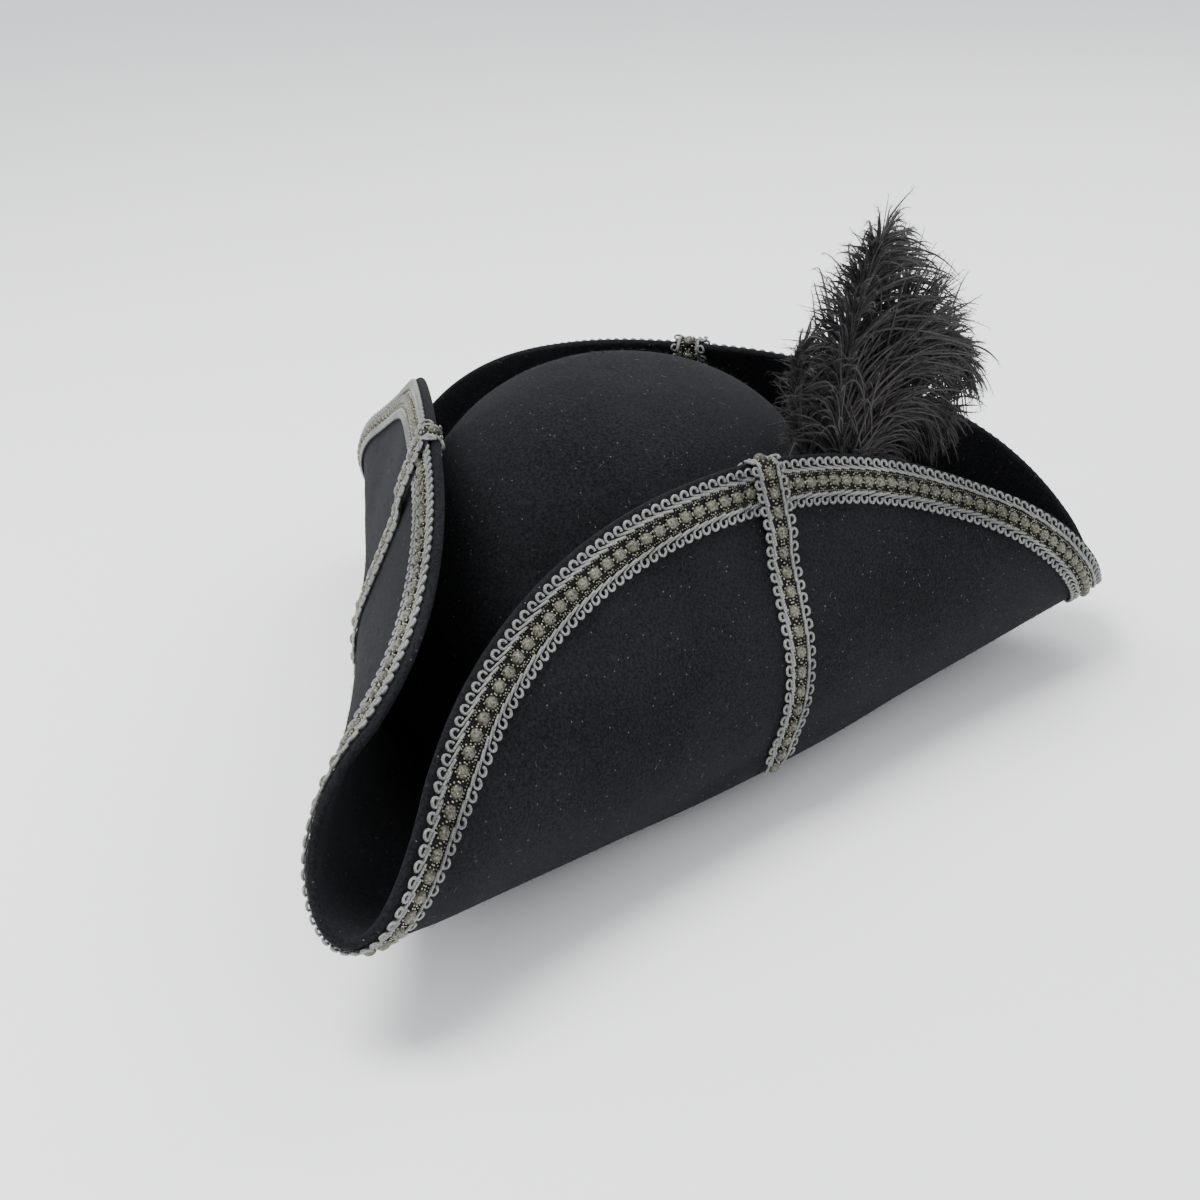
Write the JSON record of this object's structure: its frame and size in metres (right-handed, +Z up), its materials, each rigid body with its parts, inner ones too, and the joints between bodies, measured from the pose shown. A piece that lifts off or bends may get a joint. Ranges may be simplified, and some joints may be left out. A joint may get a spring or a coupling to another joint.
{
  "type": "pirate tricorn hat",
  "caption": "Black felt tricorn hat with a domed crown, brim turned up in three flaps, grey gimp braid along the rim and flaps, and a dark plume bunch behind one flap.",
  "frame": {"origin": "centre of the head opening, on the level where the brim leaves the crown at the front and back", "axes": "+Z up through the crown, -Y towards the front point, +X towards the wearer's left"},
  "size_m": [0.3302, 0.3588, 0.1915],
  "materials": {
    "black_felt": "matt blocked wool felt with a short nap",
    "pewter_gimp": "woven gimp braid, grey cord loops round a row of metallic thread beads",
    "black_ribbon": "ribbed grosgrain ribbon",
    "black_thread": "twisted sewing thread",
    "quill": "dyed quill, slightly glossy",
    "dark_plume": "soft dyed plume barbs"
  },
  "bodies": {
    "hat": {"crown": "black_felt", "brim": "black_felt", "rim_braid": "pewter_gimp", "left_flap_band": "pewter_gimp", "right_flap_band": "pewter_gimp", "back_flap_band": "pewter_gimp", "band_tacks": "black_thread", "sweatband": "black_ribbon", "sweatband_stitches": "black_thread", "quill_bases": "quill", "plume_binding": "black_thread", "plume_tacks": "black_thread"},
    "front_plume": {"front_plume_shaft": "quill", "front_plume_flues": "dark_plume"},
    "tall_plume": {"tall_plume_shaft": "quill", "tall_plume_flues": "dark_plume"},
    "rear_plume": {"rear_plume_shaft": "quill", "rear_plume_flues": "dark_plume"},
    "low_plume": {"low_plume_shaft": "quill", "low_plume_flues": "dark_plume"}
  },
  "joints": [
    {"name": "front_plume_sway", "type": "hinge", "parent": "hat", "child": "front_plume", "pos_m": [0.105, -0.0145, 0.052], "axis": [0.5, 0.866, 0], "range_deg": [-5, 5], "stiffness_Nm_per_rad": 0.05},
    {"name": "tall_plume_sway", "type": "hinge", "parent": "hat", "child": "tall_plume", "pos_m": [0.105, -0.0145, 0.052], "axis": [0.5, 0.866, 0], "range_deg": [-5, 5], "stiffness_Nm_per_rad": 0.05},
    {"name": "rear_plume_sway", "type": "hinge", "parent": "hat", "child": "rear_plume", "pos_m": [0.105, -0.0145, 0.052], "axis": [0.5, 0.866, 0], "range_deg": [-5, 5], "stiffness_Nm_per_rad": 0.05},
    {"name": "low_plume_sway", "type": "hinge", "parent": "hat", "child": "low_plume", "pos_m": [0.105, -0.0145, 0.052], "axis": [0.5, 0.866, 0], "range_deg": [-5, 5], "stiffness_Nm_per_rad": 0.05}
  ]
}
